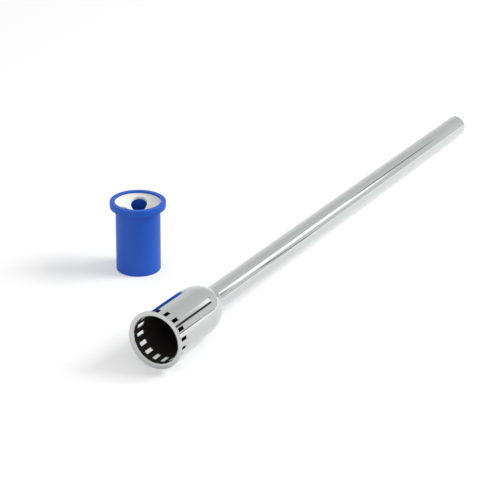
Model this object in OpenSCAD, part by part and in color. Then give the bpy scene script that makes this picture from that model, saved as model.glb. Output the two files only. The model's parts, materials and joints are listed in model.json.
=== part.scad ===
// Flush tube with a flared, windowed bell at its top end, and the vacuum breaker insert that drops into
// the bell, standing beside it. The tube lies as it comes to rest, on its rim and its far end.
// Millimetres. +X runs along the tube from the bell's mouth, +Z is up, and the floor is at Z = 0.

/* [Tube] */
// Outside diameter of the long tube
tube_od = 19.05; // [15:0.05:25]
// Wall thickness of the tube, the bell and the rim, which are formed from one piece
wall = 0.9; // [0.6:0.05:1.4]
// Length from the rim's face to the far cut end
total_length = 533.4; // [300:0.1:900]
// Bevel that breaks the outer edge of the far cut end
end_break = 0.3; // [0.1:0.05:0.5]

/* [Bell] */
// Outside diameter of the bell
bell_od = 38.1; // [32:0.05:48]
// Length of the bell's straight side, from the rim's face to where the shoulder starts to curve in
bell_straight = 54; // [35:0.5:90]
// Radius of the shoulder's convex curve
shoulder_r = 33; // [24:0.5:45]
// Radius of the concave curve where the shoulder meets the tube
neck_r = 4; // [2:0.25:8]
// How far the rim stands out from the bell, all round
rim_width = 3.15; // [2:0.05:5]
// Radius of the bend behind the rim, on its concave side
rim_bend = 0.6; // [0.3:0.05:1.2]

/* [Air windows] */
// Number of windows round the bell
window_count = 16; // [8:1:20]
// Width of a window, round the bell
window_w = 2.9; // [2:0.05:4.2]
// Length of a window, along the bell
window_l = 7.8; // [5:0.1:12]
// Distance from the rim's face to the near end of each window
window_start = 5.1; // [3:0.1:12]
// Radius of each window's corners
window_corner = 0.5; // [0.2:0.05:0.9]
// Turn of the first window from the underside of the lying tube, in degrees
window_turn = 13.5; // [0:0.5:45]

/* [Rubber sleeve] */
// Height of the sleeve with its flange
insert_h = 58; // [40:0.5:90]
// Gap left all round between the sleeve and the bell's bore
sleeve_gap = 0.5; // [0.2:0.05:1.2]
// Wall thickness of the sleeve
sleeve_wall = 2.2; // [1.5:0.1:3]
// Thickness of the flange that seats on the tube's rim
flange_h = 5.4; // [4.5:0.1:8]
// How far the flange's edge stays inside the rim's edge
flange_inset = 0.1; // [0:0.05:0.5]
// Width of the flange's top ring, outside the port cone
flange_ring = 3.8; // [2.5:0.1:5]
// Rounding of the flange's outer edges
flange_round = 0.7; // [0.2:0.1:1.2]
// Rounding of the sleeve's lower edge, on its outside
foot_round = 0.5; // [0.2:0.1:0.9]

/* [Port cone] */
// How far the cone's rim sits below the flange's top
cone_recess = 1.45; // [0.5:0.05:2.5]
// Slope of the cone's wall below the horizontal, in degrees
cone_slope = 33.5; // [20:0.5:38]
// Wall thickness of the cone
cone_wall = 1.6; // [1:0.1:2.2]
// Gap left all round between the cone's edge and its seat
cone_gap = 0.05; // [0:0.01:0.2]
// Number of ports through the cone's wall
port_count = 3; // [2:1:3]
// Distance from the cone's edge to the outermost point of a port
port_edge = 2.85; // [1.5:0.05:5]
// Distance from the cone's axis to the innermost point of a port
port_hub = 2.6; // [2:0.05:4]
// Radius of the flat at the bottom of the cone
hub_flat_r = 2; // [1:0.1:2]
// Turn of the first port from +X, in degrees
port_turn = 27; // [0:1:120]

/* [Layout] */
// Distance from the rim's face to the insert's axis, along the tube
insert_along = 136; // [60:1:300]
// Distance from the tube's axis to the insert's axis, sideways
insert_aside = 100; // [70:1:200]

/* [Hidden] */
$fn = 96;
through = 2;

// Tube, along its own axis from the rim's face
tube_r = tube_od / 2;
tube_bore_r = tube_r - wall;
bell_r = bell_od / 2;
bell_bore_r = bell_r - wall;
rim_r = bell_r + rim_width;
bend_from_face = wall + rim_bend;

// The shoulder's arc and the neck's arc touch, and the neck's arc ends on the tube
shoulder_centre_r = bell_r - shoulder_r;
neck_centre_r = tube_r + neck_r;
arcs_apart = shoulder_r + neck_r;
neck_reach = sqrt(pow(arcs_apart, 2) - pow(neck_centre_r - shoulder_centre_r, 2));
neck_end = bell_straight + neck_reach;
arcs_meet = bell_straight + neck_reach * shoulder_r / arcs_apart;

// Rest on the rim's round edge and on the far end's bevel
edge_r = wall / 2;
edge_centre_r = rim_r - edge_r;
touch_length = total_length - end_break - edge_r;
touch_drop = edge_centre_r - tube_r;
rest_tilt = atan2(touch_drop, touch_length) + asin(edge_r / norm([touch_length, touch_drop]));
axis_z = (total_length - end_break) * sin(rest_tilt) + tube_r * cos(rest_tilt);

// Insert, upright on the floor
flange_r = rim_r - flange_inset;
sleeve_r = bell_bore_r - sleeve_gap;
sleeve_bore_r = sleeve_r - sleeve_wall;
seat_r = flange_r - flange_ring;
cone_r = seat_r - cone_gap;
cone_top = insert_h - cone_recess;
cone_wall_z = cone_wall / cos(cone_slope);
port_r = (cone_r - port_edge - port_hub) / 2;
port_circle_r = port_hub + port_r;

// The origin is under the middle of everything, on the floor
low_x = edge_r * cos(rest_tilt) - edge_centre_r * sin(rest_tilt) - edge_r;
high_x = total_length * cos(rest_tilt) + (tube_r - end_break) * sin(rest_tilt);
mouth_x = -(low_x + high_x) / 2;
mouth_y = (rim_r - insert_aside - flange_r) / 2;
insert_x = mouth_x + insert_along;
insert_y = mouth_y + insert_aside;

// A rectangle from one corner to the other, in radius and length
module area(r0, t0, r1, t1) {
    translate([r0, t0]) square([r1 - r0, t1 - t0]);
}

// Everything inside one skin of the tube: the outer skin, or the inner one at a depth of one wall
module within_skin(depth, end) {
    area(0, bend_from_face, bell_r - depth, bell_straight);
    intersection() {
        translate([shoulder_centre_r, bell_straight]) circle(shoulder_r - depth);
        area(0, bell_straight, bell_r, arcs_meet);
    }
    difference() {
        area(0, arcs_meet, neck_centre_r, neck_end);
        translate([neck_centre_r, neck_end]) circle(neck_r + depth);
    }
    polygon([
        [0, arcs_meet], [tube_r - depth, arcs_meet], [tube_r - depth, end - end_break],
        [tube_r - depth - end_break, end], [0, end]
    ]);
}

// The flare from the bell's wall out to the rim: a bend of one wall's thickness, and a flat face
module rim_section() {
    intersection() {
        area(bell_bore_r, 0, bell_r + rim_bend, bend_from_face);
        translate([bell_r + rim_bend, bend_from_face])
            difference() {
                circle(bend_from_face);
                circle(rim_bend);
            }
    }
    area(bell_r + rim_bend, 0, edge_centre_r, wall);
    translate([edge_centre_r, edge_r]) circle(edge_r);
}

// Half of the tube's cut-through outline, turned about its axis to make the tube
module tube_section() {
    difference() {
        within_skin(0, total_length);
        within_skin(wall, total_length + through);
    }
    rim_section();
}

// A rectangle with round corners, centred
module round_rect(w, l, corner) {
    square([w - 2 * corner, l], center = true);
    square([w, l - 2 * corner], center = true);
    for (x = [-1, 1], y = [-1, 1])
        translate([x * (w / 2 - corner), y * (l / 2 - corner)]) circle(corner);
}

// One punched window, cut straight out through the wall on the +X side
module window_cut() {
    translate([bell_bore_r - through, 0, window_start + window_l / 2])
        rotate([90, 0, 90])
            linear_extrude(wall + 2 * through) round_rect(window_w, window_l, window_corner);
}

// The tube as it is made, standing on its rim's face
module tube_upright() {
    difference() {
        rotate_extrude() tube_section();
        for (i = [0 : window_count - 1])
            rotate([0, 0, window_turn + i * 360 / window_count]) window_cut();
    }
}

module flush_tube() {
    color("silver")
        translate([mouth_x, mouth_y, axis_z])
            rotate([0, 90 + rest_tilt, 0]) tube_upright();
}

// Half of the sleeve's cut-through outline: a thin wall, and a thick flange with a conical seat
module sleeve_section() {
    difference() {
        union() {
            area(0, foot_round, sleeve_r, insert_h - flange_h);
            area(0, 0, sleeve_r - foot_round, foot_round);
            translate([sleeve_r - foot_round, foot_round]) circle(foot_round);
            area(0, insert_h - flange_h, flange_r - flange_round, insert_h);
            area(0, insert_h - flange_h + flange_round, flange_r, insert_h - flange_round);
            for (z = [insert_h - flange_h + flange_round, insert_h - flange_round])
                translate([flange_r - flange_round, z]) circle(flange_round);
        }
        area(-through, -through, sleeve_bore_r, insert_h + through);
        polygon([
            [0, insert_h + through], [seat_r, insert_h + through], [seat_r, seat_z(seat_r)],
            [sleeve_bore_r, seat_z(sleeve_bore_r)], [0, seat_z(sleeve_bore_r)]
        ]);
    }
}

// Height of the cone's upper face, and of its lower face on the seat, at a radius
function cone_z(r) = cone_top - (cone_r - r) * tan(cone_slope);
function seat_z(r) = cone_z(r) - cone_wall_z;

module rubber_sleeve() {
    color("royalblue")
        translate([insert_x, insert_y, 0]) rotate_extrude() sleeve_section();
}

// A funnel with a small flat bottom, and ports bored straight down through its wall
module port_cone() {
    color("white")
        translate([insert_x, insert_y, 0])
            difference() {
                rotate_extrude()
                    polygon([
                        [0, cone_z(hub_flat_r)], [hub_flat_r, cone_z(hub_flat_r)], [cone_r, cone_top],
                        [cone_r, seat_z(cone_r)], [hub_flat_r, seat_z(hub_flat_r)], [0, seat_z(hub_flat_r)]
                    ]);
                for (i = [0 : port_count - 1])
                    rotate([0, 0, port_turn + i * 360 / port_count])
                        translate([port_circle_r, 0, seat_z(0) - through])
                            cylinder(r = port_r, h = cone_top - seat_z(0) + 2 * through);
            }
}

flush_tube();
rubber_sleeve();
port_cone();
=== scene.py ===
"""A chromed flush tube with a windowed bell, and its blue vacuum breaker insert standing beside it."""
import json
import math

import bpy
from mathutils import Matrix, Vector

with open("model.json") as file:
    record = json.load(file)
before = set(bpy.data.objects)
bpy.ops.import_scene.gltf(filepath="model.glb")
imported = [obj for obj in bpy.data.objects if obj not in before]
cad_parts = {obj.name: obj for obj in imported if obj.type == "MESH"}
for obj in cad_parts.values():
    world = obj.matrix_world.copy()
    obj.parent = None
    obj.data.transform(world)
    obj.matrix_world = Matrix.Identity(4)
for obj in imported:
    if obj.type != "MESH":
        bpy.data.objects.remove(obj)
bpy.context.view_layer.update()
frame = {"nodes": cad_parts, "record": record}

MM = 0.001

# Places taken from the imported record: the tube's axis and the middle of its mouth
MOUNTS = {m["name"]: m for m in frame["record"]["mounts"]}
BELL = MOUNTS["bell_bore"]
TUBE_AXIS = -Vector(BELL["axis"]).normalized()
BELL_MIDDLE = Vector(BELL["pos_m"])
RIM = Vector(MOUNTS["rim_face"]["pos_m"])
MOUTH = BELL_MIDDLE + TUBE_AXIS * (RIM - BELL_MIDDLE).dot(TUBE_AXIS)


def link(obj):
    """Puts a new object in the scene."""
    bpy.context.scene.collection.objects.link(obj)
    return obj


class Maths:
    """Writes sums as shader nodes. Every value is a number or a node's output."""

    def __init__(self, tree):
        self.tree = tree

    def node(self, kind, **settings):
        made = self.tree.nodes.new(kind)
        for name, value in settings.items():
            setattr(made, name, value)
        return made

    def put(self, value, socket):
        if isinstance(value, bpy.types.NodeSocket):
            self.tree.links.new(value, socket)
        else:
            socket.default_value = value

    def sum(self, operation, *values):
        made = self.node("ShaderNodeMath", operation=operation)
        for value, socket in zip(values, made.inputs):
            self.put(value, socket)
        return made.outputs[0]

    def vector(self, operation, *values):
        made = self.node("ShaderNodeVectorMath", operation=operation)
        for value, socket in zip(values, made.inputs):
            self.put(value, socket)
        return made.outputs["Vector"]

    def scaled(self, vector, factor):
        made = self.node("ShaderNodeVectorMath", operation="SCALE")
        self.put(vector, made.inputs[0])
        self.put(factor, made.inputs["Scale"])
        return made.outputs["Vector"]

    def dot(self, one, other):
        made = self.node("ShaderNodeVectorMath", operation="DOT_PRODUCT")
        self.put(one, made.inputs[0])
        self.put(other, made.inputs[1])
        return made.outputs["Value"]

    def step(self, value, start, end, low=0.0, high=1.0):
        """Goes smoothly from low at start to high at end."""
        made = self.node("ShaderNodeMapRange", interpolation_type="SMOOTHSTEP")
        for given, name in ((value, "Value"), (start, "From Min"), (end, "From Max"), (low, "To Min"), (high, "To Max")):
            self.put(given, made.inputs[name])
        return made.outputs["Result"]

    def band(self, value, low, high, soft):
        """One between low and high, and zero outside, with soft edges."""
        rise = self.step(value, self.sum("SUBTRACT", low, soft), self.sum("ADD", low, soft))
        fall = self.step(value, self.sum("SUBTRACT", high, soft), self.sum("ADD", high, soft), 1.0, 0.0)
        return self.sum("MULTIPLY", rise, fall)

    def mix(self, share, below, above):
        """below where share is zero, and above where it is one."""
        made = self.node("ShaderNodeMix", data_type="FLOAT")
        self.put(share, made.inputs["Factor"])
        self.put(below, made.inputs["A"])
        self.put(above, made.inputs["B"])
        return made.outputs["Result"]

    def blend(self, share, below, above):
        """One colour where share is zero, and the other where it is one."""
        made = self.node("ShaderNodeMix", data_type="RGBA")
        self.put(share, made.inputs["Factor"])
        self.put(below, made.inputs[6])
        self.put(above, made.inputs[7])
        return made.outputs[2]


def new_material(name):
    """A node material with its Principled shader and output."""
    material = bpy.data.materials.new(name)
    material.use_nodes = True
    tree = material.node_tree
    tree.nodes.clear()
    out = tree.nodes.new("ShaderNodeOutputMaterial")
    shader = tree.nodes.new("ShaderNodeBsdfPrincipled")
    tree.links.new(shader.outputs["BSDF"], out.inputs["Surface"])
    return material, tree, shader


def dress(node, material):
    """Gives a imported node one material."""
    obj = frame["nodes"][node]
    obj.data.materials.clear()
    obj.data.materials.append(material)


def chrome():
    """Bright chrome plate outside, and within the bell and the tube a dark raw metal, darkened further with painted
    shade of the bore.
    """
    material, tree, shader = new_material("chrome")
    maths = Maths(tree)
    place = maths.node("ShaderNodeNewGeometry")
    from_mouth = maths.vector("SUBTRACT", place.outputs["Position"], MOUTH)
    depth = maths.dot(from_mouth, TUBE_AXIS)
    along = maths.scaled(TUBE_AXIS, depth)
    radial = maths.vector("NORMALIZE", maths.vector("SUBTRACT", from_mouth, along))
    inward = maths.sum("MULTIPLY", maths.dot(place.outputs["Normal"], radial), -1.0)
    # Inward-facing surfaces past the mouth's lip: raw unplated metal, made near-black with painted shade that stands
    # in for the bore's shadow
    raw_and_shaded_bore = maths.sum(
        "MULTIPLY",
        maths.step(inward, 0.2, 0.35),
        maths.step(depth, 1.1 * MM, 1.5 * MM),
    )
    maths.put(maths.blend(raw_and_shaded_bore, (0.56, 0.59, 0.58, 1), (0.05, 0.042, 0.034, 1)), shader.inputs["Base Color"])
    maths.put(maths.mix(raw_and_shaded_bore, 1.0, 0.3), shader.inputs["Metallic"])
    maths.put(maths.mix(raw_and_shaded_bore, 0.03, 0.55), shader.inputs["Roughness"])
    return material


def rubber():
    """Blue moulded rubber."""
    material, tree, shader = new_material("blue_rubber")
    shader.inputs["Base Color"].default_value = (0.0, 0.09, 0.56, 1)
    shader.inputs["Roughness"].default_value = 0.5
    return material


def plastic():
    """White moulded plastic."""
    material, tree, shader = new_material("white_plastic")
    shader.inputs["Base Color"].default_value = (0.87, 0.88, 0.84, 1)
    shader.inputs["Roughness"].default_value = 0.45
    return material


# Camera: its place and aim in the frame, fitted to the photograph
CAMERA_PLACE = Vector((-1263.9, -676.1, 637.4)) * MM
CAMERA_HEADING = math.atan2(0.4828, 0.8757)
CAMERA_PITCH = 0.4332
CAMERA_ROLL = 0.014
IMAGE_SIZE = 500
FOCAL_PIXELS = 1869.6
SENSOR = 36.0
HALF_PIXEL = 0.5 / IMAGE_SIZE


def make_camera():
    """The camera at the photograph's viewing angle."""
    forward = Vector((
        math.cos(CAMERA_HEADING) * math.cos(CAMERA_PITCH),
        math.sin(CAMERA_HEADING) * math.cos(CAMERA_PITCH),
        -math.sin(CAMERA_PITCH),
    ))
    level_right = forward.cross(Vector((0, 0, 1))).normalized()
    level_up = level_right.cross(forward)
    right = math.cos(CAMERA_ROLL) * level_right + math.sin(CAMERA_ROLL) * level_up
    up = right.cross(forward)
    data = bpy.data.cameras.new("camera")
    data.sensor_width = SENSOR
    data.lens = FOCAL_PIXELS / IMAGE_SIZE * SENSOR
    data.shift_x = -HALF_PIXEL
    data.shift_y = HALF_PIXEL
    data.clip_start = 0.01
    data.clip_end = 100
    camera = link(bpy.data.objects.new("camera", data))
    axes = Matrix((right, up, -forward)).transposed()
    camera.matrix_world = Matrix.Translation(CAMERA_PLACE) @ axes.to_4x4()
    bpy.context.scene.camera = camera


def make_world():
    """White for the camera, plain soft light for the surfaces, and a studio for the chrome to mirror."""
    world = bpy.data.worlds.new("world")
    bpy.context.scene.world = world
    world.use_nodes = True
    tree = world.node_tree
    tree.nodes.clear()
    maths = Maths(tree)
    out = maths.node("ShaderNodeOutputWorld")
    rays = maths.node("ShaderNodeLightPath")
    looking = maths.node("ShaderNodeTexCoord").outputs["Generated"]

    # A direction's angle from the tube's axis, and its turn round that axis: 0 at the near side's horizon, 90 overhead
    side = Vector((0, -1, 0))
    over = side.cross(TUBE_AXIS)
    if over.z < 0:
        over = -over
    along = maths.dot(looking, TUBE_AXIS)
    off_axis = maths.sum("MULTIPLY", maths.sum("ARCCOSINE", along), 180 / math.pi)
    turn = maths.sum("ARCTAN2", maths.dot(looking, over), maths.dot(looking, side))
    turn = maths.sum("MULTIPLY", turn, 180 / math.pi)

    # Walls and ceiling: pale grey, a little darker overhead
    grey = maths.mix(maths.step(turn, 30, 110), 0.9, 0.78)
    grey = maths.mix(maths.step(turn, 110, 165), grey, 0.95)

    # A bright panel past the far end, and the dark gaps round it
    panel = maths.sum(
        "MULTIPLY",
        maths.band(turn, 36, 60, 3),
        maths.band(off_axis, 32.0, 38.5, 0.9),
    )
    gap = maths.sum("MULTIPLY", maths.band(turn, 34, 43, 1.5), maths.band(off_axis, 37.6, 40.6, 0.4))
    rear_gap = maths.sum("MULTIPLY", maths.band(turn, 56, 62, 1.5), maths.band(off_axis, 30, 33, 0.4))
    thin = maths.sum("MULTIPLY", maths.band(turn, 64, 67, 1), maths.band(off_axis, 29, 37, 1))
    sky_line = maths.band(turn, -3, 2.5, 0.6)
    # A dark upright that leans towards the panel
    lean = maths.step(turn, 26, -3, 36.3, 34.4)
    upright = maths.band(off_axis, maths.sum("SUBTRACT", lean, 0.2), maths.sum("ADD", lean, 0.25), 0.15)
    upright = maths.sum("MULTIPLY", upright, maths.band(turn, -4, 26, 2))

    seen = maths.mix(panel, grey, 1.9)
    for dark in (gap, rear_gap):
        seen = maths.mix(dark, seen, 0.05)
    seen = maths.mix(maths.sum("MULTIPLY", thin, 0.3), seen, 0.1)
    seen = maths.mix(sky_line, seen, 0.12)
    seen = maths.mix(upright, seen, 0.02)

    white = maths.mix(rays.outputs["Is Camera Ray"], 0.62, 1.0)
    strength = maths.mix(rays.outputs["Is Glossy Ray"], white, seen)
    light = maths.node("ShaderNodeBackground")
    light.inputs["Color"].default_value = (1, 1, 1, 1)
    maths.put(strength, light.inputs["Strength"])
    tree.links.new(light.outputs["Background"], out.inputs["Surface"])


KEY_HEADING = math.radians(-61)
KEY_HEIGHT = math.radians(42)
KEY_AWAY = 1.5
KEY_SIZE = 0.7
KEY_POWER = 16


def make_key_light():
    """A broad soft lamp from the right."""
    data = bpy.data.lights.new("key", "AREA")
    data.shape = "SQUARE"
    data.size = KEY_SIZE
    data.energy = KEY_POWER
    lamp = link(bpy.data.objects.new("key", data))
    from_here = Vector((
        math.cos(KEY_HEADING) * math.cos(KEY_HEIGHT),
        math.sin(KEY_HEADING) * math.cos(KEY_HEIGHT),
        math.sin(KEY_HEIGHT),
    ))
    lamp.location = KEY_AWAY * from_here
    lamp.rotation_euler = from_here.to_track_quat("Z", "Y").to_euler()
    lamp.visible_glossy = False


FLOOR_HALF = 3.0
FLOOR_GLOW = 0.27


def make_floor():
    """A pale floor that keeps the shadows, and is white to the camera and in the chrome."""
    mesh = bpy.data.meshes.new("floor")
    corners = [(-1, -1), (1, -1), (1, 1), (-1, 1)]
    mesh.from_pydata([(x * FLOOR_HALF, y * FLOOR_HALF, 0) for x, y in corners], [], [(0, 1, 2, 3)])
    floor = link(bpy.data.objects.new("floor", mesh))
    material, tree, shader = new_material("floor")
    shader.inputs["Base Color"].default_value = (0.8, 0.8, 0.8, 1)
    shader.inputs["Roughness"].default_value = 1.0
    shader.inputs["Specular IOR Level"].default_value = 0.0
    maths = Maths(tree)
    rays = maths.node("ShaderNodeLightPath")
    seen = maths.sum("MAXIMUM", rays.outputs["Is Camera Ray"], rays.outputs["Is Glossy Ray"])
    seen = maths.sum("MAXIMUM", seen, rays.outputs["Is Transmission Ray"])
    glow = maths.node("ShaderNodeEmission")
    maths.put(maths.sum("MULTIPLY", seen, FLOOR_GLOW), glow.inputs["Strength"])
    both = maths.node("ShaderNodeAddShader")
    out = next(n for n in tree.nodes if n.type == "OUTPUT_MATERIAL")
    tree.links.new(shader.outputs["BSDF"], both.inputs[0])
    tree.links.new(glow.outputs["Emission"], both.inputs[1])
    tree.links.new(both.outputs[0], out.inputs["Surface"])
    mesh.materials.append(material)


bpy.context.scene.view_settings.view_transform = "Standard"
make_camera()
make_world()
make_key_light()
make_floor()
dress("flush_tube", chrome())
dress("rubber_sleeve", rubber())
dress("port_cone", plastic())
